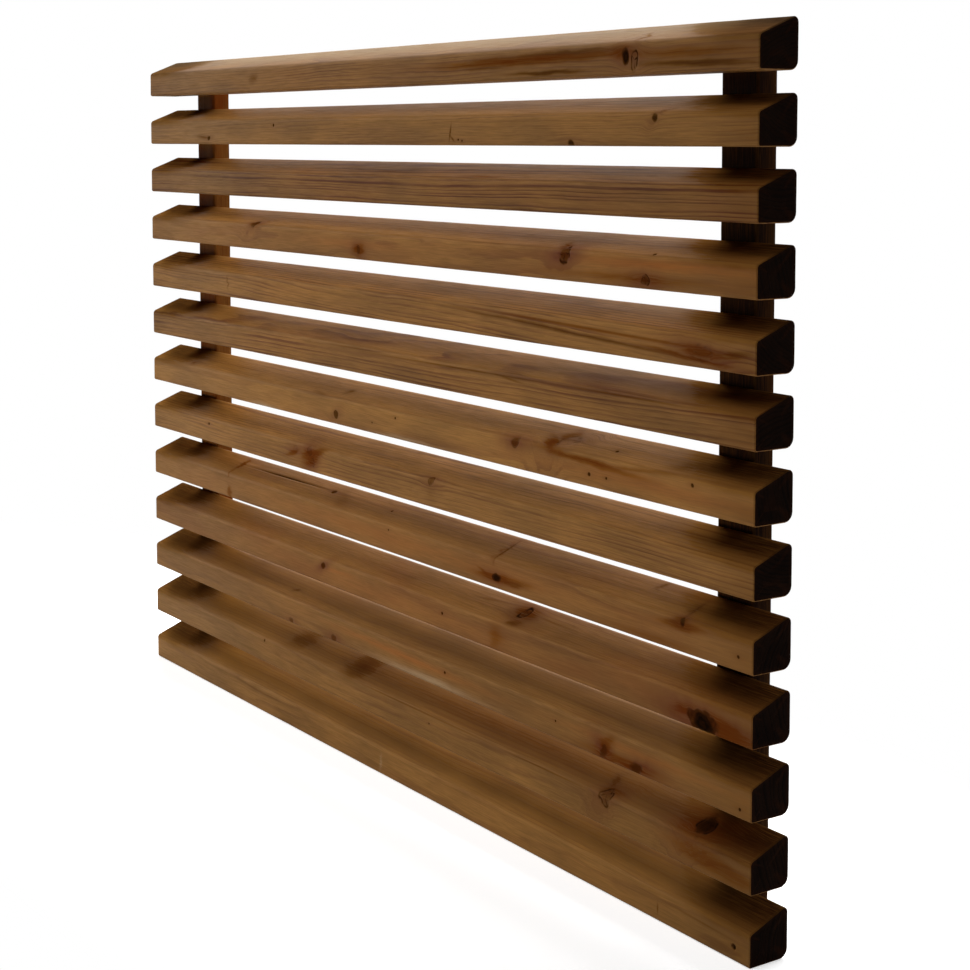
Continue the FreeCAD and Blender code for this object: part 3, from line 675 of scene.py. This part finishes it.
def long_grain(name, timber, pith, back, knots=(), marks=(), upright=False):
    """Stained softwood along the grain. The back is sawn, not planed, and drinks in more stain."""
    material, g, shader = new_material(name)
    grain = Grain(g, timber, pith, knots, upright)
    contrast = g.math("MULTIPLY", grain.fade, timber.contrast)
    colour = g.mix(g.math("MULTIPLY", grain.late, contrast), EARLY_WOOD, LATE_WOOD)
    streak = g.range(grain.fibre, 0.25, 0.75, 0.76, 1.2)
    cloud = g.range(grain.clouds.outputs[0], 0.3, 0.7, 0.82, 1.16)
    level = g.math("MULTIPLY", g.math("MULTIPLY", streak, cloud), timber.light)
    colour = g.mix(1.0, colour, g.scaled((1, 1, 1), level), "MULTIPLY")
    hue = g.add("ShaderNodeSeparateColor", grain.clouds.outputs["Color"]).outputs["Green"]
    colour = g.mix(g.math("MULTIPLY", g.range(hue, 0.4, 0.7, 0.4, 1.0), timber.red), colour, RED_WOOD)
    ragged = g.sway(g.sway(grain.place, *RAGGED_SWAY), *FRAYED_SWAY)
    patchy = g.range(grain.fibre, 0.3, 0.6, 0.55, 1.15)
    dull = g.math("MAXIMUM", grain.heart, grain.line)
    for spot in marks:
        node = g.add("ShaderNodeGroup", node_tree=MARK)
        fine = min(spot.source.width, spot.source.length) < FINE_MARK
        for socket, value in (("Place", grain.place if fine else ragged), ("Centre", spot.centre),
                              ("Along", spot.along), ("Across", spot.across), ("Out", spot.axis)):
            g.feed(node.inputs[socket], value)
        strength = g.math("MULTIPLY", patchy, spot.source.strength)
        share = g.math("MULTIPLY", node.outputs["Mask"], strength, clamp=True)
        colour = g.mix(share, colour, TONES[spot.source.tone])
        if spot.source.tone in DULLNESS:
            dull = g.math("MAXIMUM", dull, g.math("MULTIPLY", share, DULLNESS[spot.source.tone]))
    if knots:
        colour = g.mix(g.math("MULTIPLY", grain.stain, patchy, clamp=True), colour, TONES["red"])
        colour = g.mix(grain.heart, colour, g.mix(grain.rings, KNOT_WOOD, KNOT_HEART))
        colour = g.mix(grain.line, colour, KNOT_LINE)
    wear = g.add("ShaderNodeAttribute", attribute_name="edge").outputs["Fac"]
    worn = g.math("MULTIPLY", wear, g.range(grain.fibre, 0.35, 0.7, 0.0, 0.25))
    colour = g.mix(worn, colour, WORN_EDGE)
    depth = g.add("ShaderNodeSeparateXYZ", grain.place).outputs["Y"]
    sawn_start, sawn_full = (back / MM - before for before in SAWN_BAND)
    sawn = g.range(depth, sawn_start, sawn_full, 1.0, SAWN_BACK)
    colour = g.mix(1.0, colour, g.scaled((1, 1, 1), sawn), "MULTIPLY")
    g.feed(shader.inputs["Base Color"], colour)
    g.feed(shader.inputs["Roughness"], g.range(grain.fibre, 0.3, 0.7, 0.58, 0.44))
    gloss = UPRIGHT_GLOSS if upright else g.range(dull, 0.0, 0.5, WOOD_GLOSS, DULL_GLOSS)
    g.feed(shader.inputs["Specular IOR Level"], gloss)
    height = g.math("MULTIPLY_ADD", grain.fibre, 0.6, g.math("MULTIPLY", grain.late, 0.4))
    if knots:
        height = g.math("SUBTRACT", height, g.math("MULTIPLY", grain.line, 0.8))
    g.feed(shader.inputs["Normal"], g.bump(height, 0.35, 0.4 * MM))
    return material


def end_grain(name, timber, pith, upright=False):
    """Sawn end of the wood, which drinks in the stain and goes dark; its near-black colour is partly painted
    shade.
    """
    material, g, shader = new_material(name)
    grain = Grain(g, timber, pith, (), upright)
    colour = g.mix(grain.late, END_EARLY, END_LATE)
    cloud = g.range(grain.clouds.outputs[0], 0.3, 0.7, 0.6, 1.2)
    colour = g.mix(1.0, colour, g.scaled((1, 1, 1), cloud), "MULTIPLY")
    wear = g.add("ShaderNodeAttribute", attribute_name="edge").outputs["Fac"]
    colour = g.mix(g.math("MULTIPLY", wear, 0.1), colour, LATE_WOOD)
    g.feed(shader.inputs["Base Color"], colour)
    g.feed(shader.inputs["Roughness"], g.range(grain.fibre, 0.3, 0.7, 0.9, 0.75))
    shader.inputs["Specular IOR Level"].default_value = END_GLOSS
    g.feed(shader.inputs["Normal"], g.bump(g.math("ADD", grain.late, grain.fibre), 0.5, 0.5 * MM))
    return material


def screw_steel():
    """Yellow-passivated steel, dulled in patches."""
    material, g, shader = new_material("passivated_steel")
    place = g.scaled(g.add("ShaderNodeTexCoord").outputs["Object"], 1 / MM)
    patches = g.grey_noise(g.scaled(place, 0.35), 4.0, 0.6)
    colour = g.mix(g.range(patches, 0.35, 0.65), STEEL, DULL_STEEL)
    g.feed(shader.inputs["Base Color"], colour)
    g.feed(shader.inputs["Roughness"], g.range(patches, 0.3, 0.7, 0.3, 0.5))
    shader.inputs["Metallic"].default_value = 1.0
    g.feed(shader.inputs["Normal"], g.bump(g.grey_noise(g.scaled(place, 2.5), 3.0), 0.2, 0.1 * MM))
    return material


# Timber meshes

def rounded_outline(corners, radii, rows):
    """Points round a section as (a, b, normal a, normal b, edge), where edge is 1 on a rounded arris.
    Radii give each corner its own rounding. Rows give more points on a side: how far they lie from the corner
    that the side starts at."""
    arcs = []
    for k, (corner, radius) in enumerate(zip(corners, radii)):
        before = (corners[k - 1] - corner).normalized()
        after = (corners[(k + 1) % len(corners)] - corner).normalized()
        half = before.angle(after) / 2
        centre = corner + (before + after).normalized() * (radius / math.sin(half))
        start = corner + before * (radius / math.tan(half)) - centre
        sweep = math.pi - 2 * half
        arc = []
        for step in range(ARC_STEPS + 1):
            arm = start.copy()
            arm.rotate(Matrix.Rotation(sweep * step / ARC_STEPS, 2))
            arc.append((centre + arm, arm.normalized(), math.sin(math.pi * step / ARC_STEPS)))
        arcs.append(arc)
    outline = []
    for k, arc in enumerate(arcs):
        outline += [(*point, *normal, edge) for point, normal, edge in arc]
        point, normal, _ = arc[-1]
        following = arcs[(k + 1) % len(arcs)][0][0]
        run = (following - point).length
        count = max(2, round(run / FLAT_STEP))
        offset = (point - corners[k]).length
        steps = [run * step / count for step in range(1, count)] + [row - offset for row in rows.get(k, ())]
        for step in spread_out(steps, 0.0, run):
            outline.append((*point.lerp(following, step / run), *normal, 0.0))
    return np.array(outline)


def spread_out(places, low, high):
    """The places between two limits in order, without those that crowd the one before."""
    kept = [low]
    for place in sorted(places):
        if kept[-1] + KNOT_STEP / 2 < place < high - KNOT_STEP / 2:
            kept.append(place)
    return kept[1:]


def stations(low, high, spots):
    """Places along a bar where its mesh has a ring, closer together at the knots and next to the ends."""
    low, high = low + END_CHAMFER, high - END_CHAMFER
    count = round((high - low) / LENGTH_STEP)
    places = list(np.linspace(low, high, count)) + [low + END_STEP, high - END_STEP]
    places += [LEFT + (RIGHT - LEFT) * part / LENGTH_PARTS for part in range(1, LENGTH_PARTS)]
    for spot in spots:
        reach = spot.source.radius * max(1.0, spot.source.stretch) * MM * KNOT_REACH_ALONG
        places += list(np.arange(-reach, reach, KNOT_STEP) + spot.source.along * MM)
    return [low] + spread_out(places, low, high) + [high]


def relief(points, knots, marks, seed):
    """How far the surface lies below the true section at each point, in metres: planing marks, dents, knots
    and cracks."""
    planing = [noise.noise(place) for place in points * PLANING_WAVES + (0, 0, seed)]
    dents = [noise.noise(place) for place in points * DENT_WAVES + (0, seed, 0)]
    depth = PLANING_DEPTH * (1 + np.array(planing)) + DENT_DEPTH * np.maximum(dents, 0)
    here = points / MM
    for spot in knots:
        away = here - np.array(spot.centre)
        reach = np.hypot(away @ np.array(spot.along), away @ np.array(spot.across))
        inside = np.clip((1.15 - reach) / 0.4, 0, 1)
        depth += spot.source.sink * MM * inside * inside * (3 - 2 * inside)
        depth += KNOT_LINE_DEPTH * spot.source.line * np.exp(-((reach - 1) * 5) ** 2)
    for spot in marks:
        if spot.source.tone == "crack":
            away = here - np.array(spot.centre)
            directions = (spot.along, spot.across, spot.axis)
            spread = sum((away @ np.array(direction)) ** 2 for direction in directions)
            depth += CRACK_DEPTH * np.exp(-spread)
    return depth


def timber_mesh(name, outline, along, order, sink):
    """A timber bar: rings of its section along its length, with chamfered sawn ends.
    Order gives the axis of the frame for the length and for the section's two directions."""
    around = len(outline)
    middle = outline[:, :2].mean(axis=0)
    start, stop = along[0] - END_CHAMFER, along[-1] + END_CHAMFER
    rings = [(start, END_CHAMFER, share, worn) for share, worn in END_RINGS]
    rings += [(place, 0.0, 1.0, END_WEAR if place in (along[0], along[-1]) else 0.0) for place in along]
    rings += [(stop, END_CHAMFER, share, worn) for share, worn in reversed(END_RINGS)]
    points, normals, insets, shares, worn_edges = [], [], [], [], []
    for place, inset, share, worn in rings:
        points.append(np.column_stack((np.full(around, place), outline[:, :2])))
        normals.append(np.column_stack((np.zeros(around), outline[:, 2:4])))
        insets.append(np.full(around, inset))
        shares.append(np.full(around, share))
        worn_edges.append(np.maximum(outline[:, 4], worn))
    points, normals = np.concatenate(points)[:, order], np.concatenate(normals)[:, order]
    centre = np.zeros(3)
    centre[order.index(1)], centre[order.index(2)] = middle
    points = points - normals * (np.concatenate(insets) + sink(points))[:, None]
    across = np.ones(3)
    across[order.index(0)] = 0
    points += (centre - points) * across * (1 - np.concatenate(shares))[:, None]
    faces, kinds = [], []
    end_bands = len(END_RINGS) - 1
    for r in range(len(rings) - 1):
        end = r < end_bands or r >= len(rings) - 1 - end_bands
        for k in range(around):
            n = (k + 1) % around
            a, b = r * around, (r + 1) * around
            faces.append((a + k, b + k, b + n, a + n))
            kinds.append(int(end))
    faces.append(tuple(range(around)))
    faces.append(tuple(reversed(range((len(rings) - 1) * around, len(rings) * around))))
    kinds += [1, 1]
    mesh = bpy.data.meshes.new(name)
    mesh.from_pydata(points.tolist(), [], faces)
    mesh.attributes.new("edge", "FLOAT", "POINT").data.foreach_set("value", np.concatenate(worn_edges))
    mesh.polygons.foreach_set("material_index", kinds)
    return mesh


def finish_mesh(mesh):
    """Smooth shading, with sharp edges where the form turns."""
    mesh.shade_smooth()
    mesh.set_sharp_from_angle(angle=math.radians(SHARP_ANGLE))
    mesh.update()


def add_piece(mesh, node):
    """The object that stands for a CAD node."""
    piece = bpy.data.objects.new(mesh.name, mesh)
    bpy.context.collection.objects.link(piece)
    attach(piece, "root")
    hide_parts(node)


def build_slat(index, timber):
    """One slat: a long moulded bar with planing marks, knots and sawn, chamfered ends."""
    node = f"slat_{index + 1:02d}"
    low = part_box(node)[0].z
    face = Face(low)
    pith = ((FRONT + BACK) / 2 / MM + timber.behind, low / MM + SLAT_MIDDLE + timber.above)
    knots, marks = knot_spots(timber, face), mark_spots(timber, face)
    rows = {1: [], 2: []}
    for spot in knots + [spot for spot in marks if spot.source.tone == "crack"]:
        half = getattr(spot.source, "radius", CRACK_RADIUS) * KNOT_REACH_UP
        step = min(KNOT_STEP / MM, half / 4)
        for up in np.arange(spot.source.up - half, spot.source.up + half, step):
            rows[1].append((face.slope_length - (up - face.front_height)) * MM)
            rows[2].append((face.front_height - up) * MM)
    corners = [Vector((BACK, low)), Vector((BACK, low + SLAT_REAR_HEIGHT)),
               Vector((FRONT, low + SLAT_FRONT_HEIGHT)), Vector((FRONT, low))]
    radii = (SLAT_LOW_BACK_RADIUS, SLAT_EDGE_RADIUS, SLAT_EDGE_RADIUS, SLAT_LOW_FRONT_RADIUS)
    outline = rounded_outline(corners, radii, rows)
    along = stations(LEFT, RIGHT, knots)
    mesh = timber_mesh(node + "_wood", outline, along, [0, 1, 2],
                       lambda points: relief(points, knots, marks, index * SEED_STEP))
    mesh.materials.append(long_grain(node + "_grain", timber, pith, BACK, knots, marks))
    mesh.materials.append(end_grain(node + "_end", timber, pith))
    finish_mesh(mesh)
    add_piece(mesh, node)


def lathe(profile, sides):
    """Vertices and faces of a closed turned form about +Y, from (radius, y) points that start and end on
    the axis."""
    verts = [(0, profile[0][1], 0)]
    for radius, y in profile[1:-1]:
        for k in range(sides):
            angle = 2 * math.pi * k / sides
            verts.append((radius * math.sin(angle), y, radius * math.cos(angle)))
    verts.append((0, profile[-1][1], 0))
    rings = len(profile) - 2
    faces = []
    for k in range(sides):
        n = (k + 1) % sides
        faces.append((0, 1 + k, 1 + n))
        for r in range(rings - 1):
            a, b = 1 + r * sides, 1 + (r + 1) * sides
            faces.append((a + k, b + k, b + n, a + n))
        last = 1 + (rings - 1) * sides
        faces.append((len(verts) - 1, last + n, last + k))
    return verts, faces


def repeated(name, verts, faces, places):
    """One mesh with a copy of a form at each (offset, turn about Y)."""
    base = np.array(verts)
    all_verts, all_faces = [], []
    for offset, turn in places:
        start = len(all_verts)
        rotation = np.array(Matrix.Rotation(turn, 3, "Y"))
        all_verts += (base @ rotation.T + np.array(offset)).tolist()
        all_faces += [tuple(start + v for v in face) for face in faces]
    mesh = bpy.data.meshes.new(name)
    mesh.from_pydata(all_verts, [], all_faces)
    return mesh


def cut(mesh, cutter):
    """The mesh with the cutter's form taken out of it."""
    work = bpy.data.objects.new("work", mesh)
    tool = bpy.data.objects.new("tool", cutter)
    for item in (work, tool):
        bpy.context.collection.objects.link(item)
    modifier = work.modifiers.new("cut", "BOOLEAN")
    modifier.operation = "DIFFERENCE"
    modifier.solver = "EXACT"
    modifier.object = tool
    shape = work.evaluated_get(bpy.context.evaluated_depsgraph_get())
    result = bpy.data.meshes.new_from_object(shape)
    for item in (work, tool):
        bpy.data.objects.remove(item)
    bpy.data.meshes.remove(cutter)
    result.name = mesh.name
    return result


def screw_places(node):
    """The head's middle of each screw in a CAD node, with its own turn."""
    low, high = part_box(node)
    across = (low.x + high.x) / 2
    return [((across, high.y, low.z + HEAD_RADIUS + PITCH * k), math.radians(TURN_STEP * k + FIRST_TURN))
            for k in range(len(SLATS))]


def screw_profile(length):
    """The turned form of a screw: its countersunk head, plain neck, thread and point."""
    neck_radius = SHANK_RADIUS * NECK_SHARE
    y = -PLAIN_SHARE * length
    profile = [(0, 0), (HEAD_RADIUS * HEAD_FLAT_SHARE, 0), (HEAD_RADIUS * HEAD_BEVEL_SHARE, -HEAD_BEVEL),
               (HEAD_RADIUS, -HEAD_RIM), (neck_radius, SHANK_RADIUS - HEAD_RADIUS), (neck_radius, y)]
    while y > -(length - TIP_LENGTH):
        for radius, share in zip((CORE_RADIUS, SHANK_RADIUS, CORE_RADIUS), THREAD_SHARES):
            profile.append((radius, y - share * THREAD_PITCH))
        y -= THREAD_PITCH
    return profile + [(CORE_RADIUS * POINT_SHARE, -length + POINT_LENGTH), (0, -length)]


def recess_bar(half_x, half_z):
    """One bar of the cross recess: a block that narrows to its floor, most of all along its length."""
    verts = []
    for y, share in ((CUT_OVERRUN, 1.0), (-RECESS_DEPTH, RECESS_FLOOR_SHARE)):
        side_share = 1 - RECESS_TAPER + RECESS_TAPER * share
        x = half_x * (share if half_x > half_z else side_share)
        z = half_z * (share if half_z > half_x else side_share)
        verts += [(-x, y, -z), (-x, y, z), (x, y, z), (x, y, -z)]
    faces = [(0, 1, 2, 3), (7, 6, 5, 4), (0, 4, 5, 1), (1, 5, 6, 2), (2, 6, 7, 3), (3, 7, 4, 0)]
    mesh = bpy.data.meshes.new("recess")
    mesh.from_pydata(verts, [], faces)
    return mesh


def build_screws(node, steel):
    """The countersunk, cross-recessed screws of one row."""
    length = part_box(node)[1].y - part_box(node)[0].y
    blank = repeated("screw", *lathe(screw_profile(length), SCREW_SIDES), [((0, 0, 0), 0)])
    for half_x, half_z in ((RECESS_ARM, RECESS_WIDTH / 2), (RECESS_WIDTH / 2, RECESS_ARM)):
        blank = cut(blank, recess_bar(half_x, half_z))
    shape = [tuple(v.co) for v in blank.vertices], [tuple(p.vertices) for p in blank.polygons]
    mesh = repeated(node + "_steel", *shape, screw_places(node))
    mesh.materials.append(steel)
    finish_mesh(mesh)
    add_piece(mesh, node)


def build_upright(node, timber):
    """A rear batten with rounded arrises, sawn ends and countersunk screw holes."""
    low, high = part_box(node)
    corners = [Vector((high.x, low.y)), Vector((high.x, high.y)),
               Vector((low.x, high.y)), Vector((low.x, low.y))]
    outline = rounded_outline(corners, [UPRIGHT_EDGE_RADIUS] * 4, {})
    middle = (low + high) / 2 / MM
    pith = (middle.y + timber.behind, middle.x + timber.above)
    count = round((high.z - low.z) / LENGTH_STEP)
    along = list(np.linspace(low.z + END_CHAMFER, high.z - END_CHAMFER, count))
    bar = timber_mesh(node + "_wood", outline, along, [1, 2, 0],
                      lambda points: relief(points, (), (), middle.x))
    rows = [node.replace("upright", row) for row in ("outer_screws", "inner_screws")]
    sink = high.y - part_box(rows[0])[1].y
    mouth = HEAD_RADIUS + HOLE_PLAY + 2 * sink
    bore = SHANK_RADIUS + HOLE_PLAY
    floor = -HOLE_DEPTH_SHARE * (high.y - low.y)
    profile = [(0, 2 * sink), (mouth, 2 * sink), (bore, SHANK_RADIUS - HEAD_RADIUS),
               (bore, floor), (0, floor)]
    places = [place for row in rows for place in screw_places(row)]
    mesh = cut(bar, repeated("holes", *lathe(profile, HOLE_SIDES), places))
    mesh.materials.clear()
    marks = upright_spots(timber, low)
    mesh.materials.append(long_grain(node + "_grain", timber, pith, high.y, (), marks, True))
    mesh.materials.append(end_grain(node + "_end", timber, pith, True))
    finish_mesh(mesh)
    add_piece(mesh, node)


# Stage, light and camera

def build_lamp(lamp):
    """A softbox that lights the panel and is not seen itself."""
    data = bpy.data.lights.new(lamp.name, "AREA")
    data.shape = "RECTANGLE"
    data.size = lamp.width
    data.size_y = lamp.height
    data.energy = lamp.power
    item = bpy.data.objects.new(lamp.name, data)
    item.location = lamp.place
    item.rotation_euler = (Vector(lamp.target) - Vector(lamp.place)).to_track_quat("-Z", "Y").to_euler()
    item.visible_camera = False
    item.visible_glossy = False
    bpy.context.collection.objects.link(item)


def seen_ray(g):
    """1 for what the camera sees, directly, mirrored or through glass, and 0 for light on things."""
    path = g.add("ShaderNodeLightPath").outputs
    seen = g.math("MAXIMUM", path["Is Camera Ray"], path["Is Glossy Ray"])
    return g.math("MAXIMUM", seen, path["Is Transmission Ray"])


def build_floor():
    """A pale floor that shows the panel's soft shadow close by and runs out to white."""
    mesh = bpy.data.meshes.new("floor")
    half = FLOOR_HALF
    corners = [(-half, -half, 0), (half, -half, 0), (half, half, 0), (-half, half, 0)]
    mesh.from_pydata(corners, [], [(0, 1, 2, 3)])
    floor = bpy.data.objects.new("floor", mesh)
    bpy.context.collection.objects.link(floor)
    material, g, shader = new_material("floor_paper")
    nodes = material.node_tree.nodes
    nodes.remove(shader)
    place = g.add("ShaderNodeTexCoord").outputs["Object"]
    reach = g.vector("LENGTH", g.vector("MULTIPLY", place, SHADOW_OVAL))
    near = g.range(reach, *SHADOW_FADE, 1.0, 0.0)
    lit = g.add("ShaderNodeBsdfDiffuse", LIT_FLOOR)
    paper = g.add("ShaderNodeBsdfDiffuse", SHADOWED_FLOOR)
    lift = g.add("ShaderNodeEmission", WHITE, SHADOW_LIFT)
    shadowed = g.add("ShaderNodeAddShader", paper.outputs[0], lift.outputs[0])
    white = g.add("ShaderNodeEmission", WHITE, 1.0)
    direct = g.add("ShaderNodeMixShader", near, white.outputs[0], shadowed.outputs[0])
    mirrored = g.add("ShaderNodeEmission", WHITE, MIRRORED_FLOOR)
    camera_ray = g.add("ShaderNodeLightPath").outputs["Is Camera Ray"]
    shown = g.add("ShaderNodeMixShader", camera_ray, mirrored.outputs[0], direct.outputs[0])
    choose = g.add("ShaderNodeMixShader", seen_ray(g), lit.outputs[0], shown.outputs[0])
    g.feed(nodes["Material Output"].inputs["Surface"], choose.outputs[0])
    mesh.materials.append(material)


def build_world():
    """A white surround, which itself gives little light."""
    world = bpy.data.worlds.new("studio")
    bpy.context.scene.world = world
    world.use_nodes = True
    g = Graph(world.node_tree)
    background = world.node_tree.nodes["Background"]
    background.inputs["Color"].default_value = WHITE
    g.feed(background.inputs["Strength"], g.range(seen_ray(g), 0.0, 1.0, WORLD_LIGHT, 1.0))


def build_camera():
    """The camera of the photograph, from a fit of the slats' edges."""
    data = bpy.data.cameras.new("camera")
    data.lens = CAMERA_LENS
    data.sensor_width = SENSOR_WIDTH
    data.shift_y = CAMERA_SHIFT
    data.clip_start = CAMERA_CLIP
    camera = bpy.data.objects.new("camera", data)
    camera.location = CAMERA_PLACE
    camera.rotation_euler = (math.radians(90 + CAMERA_PITCH), 0, math.radians(CAMERA_YAW))
    bpy.context.collection.objects.link(camera)
    bpy.context.scene.camera = camera


LEFT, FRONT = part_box("slat_01")[0].x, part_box("slat_01")[0].y
RIGHT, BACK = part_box("slat_01")[1].x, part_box("slat_01")[1].y
KNOT = knot_group()
MARK = mark_group()

for index, timber in enumerate(SLATS):
    build_slat(index, timber)
for node, timber in UPRIGHTS.items():
    build_upright(node, timber)
steel = screw_steel()
for side in ("left", "right"):
    for row in ("outer", "inner"):
        build_screws(f"{side}_{row}_screws", steel)

build_floor()
build_world()
for lamp in LAMPS:
    build_lamp(lamp)
build_camera()
bpy.context.scene.view_settings.view_transform = "Standard"
